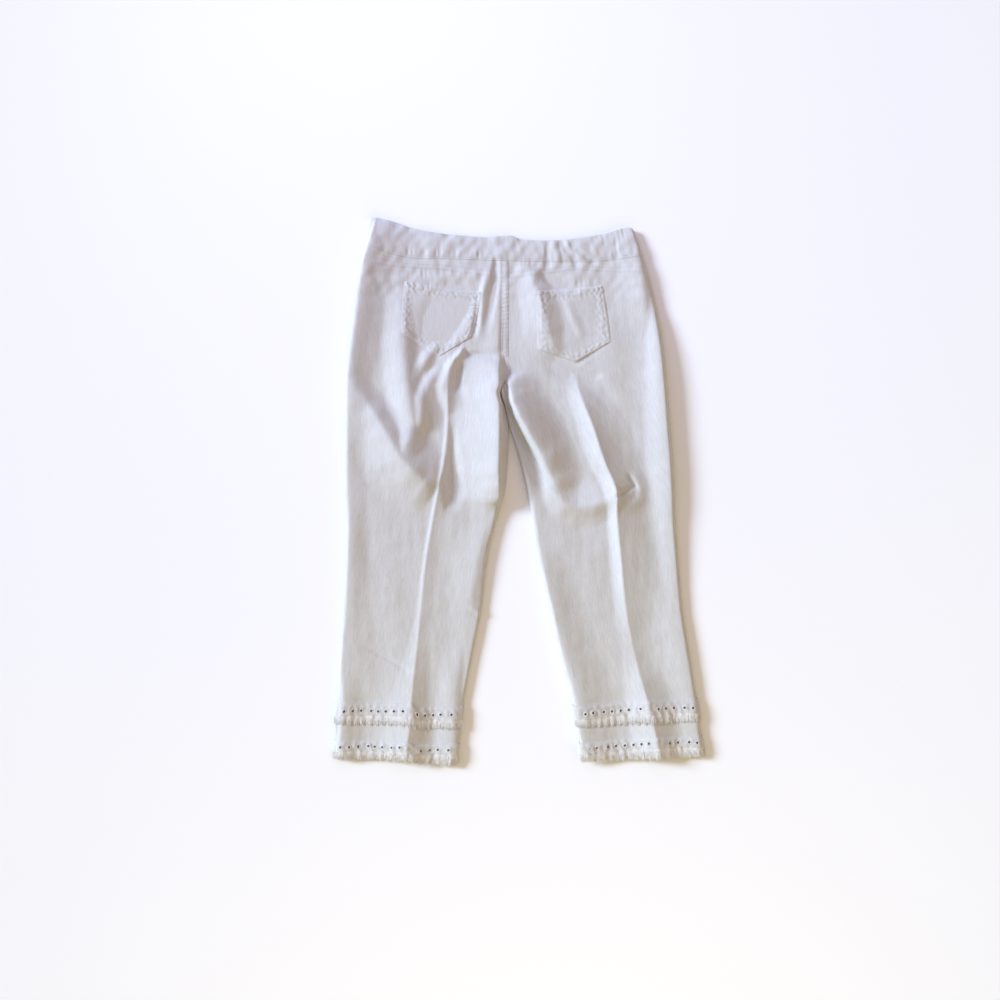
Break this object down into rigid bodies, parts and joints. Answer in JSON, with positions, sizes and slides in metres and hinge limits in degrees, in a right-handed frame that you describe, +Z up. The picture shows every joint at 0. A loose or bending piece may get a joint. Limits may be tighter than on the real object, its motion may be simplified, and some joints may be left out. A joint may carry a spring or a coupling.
{
  "type": "capri pants",
  "caption": "Pull-on stretch denim capri pants laid flat with the back up, with patch pockets and fringed eyelet tiers at the hems.",
  "frame": {"origin": "centre of the garment's footprint, on the surface that it lies on", "axes": "+Z up out of the garment's back, +Y towards the waistband, +X to the right as seen from above"},
  "size_m": [0.6295, 0.9228, 0.0315],
  "materials": {
    "denim": "white stretch denim, matt, fine slubbed twill",
    "waistband": "white stretch denim, puckered over elastic",
    "pocket": "white stretch denim, double topstitched",
    "tier": "white cotton with embroidered eyelets",
    "fringe": "frayed white cotton threads"
  },
  "bodies": {
    "root": {"waistband_back": "waistband", "waistband_front": "waistband", "yoke_left": "denim", "yoke_right": "denim", "back_leg_left": "denim", "back_leg_right": "denim", "front_leg_left": "denim", "front_leg_right": "denim", "pocket_left": "pocket", "pocket_right": "pocket", "tier_upper_back_left": "tier", "tier_upper_back_right": "tier", "tier_upper_front_left": "tier", "tier_upper_front_right": "tier", "tier_lower_back_left": "tier", "tier_lower_back_right": "tier", "tier_lower_front_left": "tier", "tier_lower_front_right": "tier", "fringe_upper_left": "fringe", "fringe_upper_right": "fringe", "fringe_lower_left": "fringe", "fringe_lower_right": "fringe"}
  },
  "joints": []
}
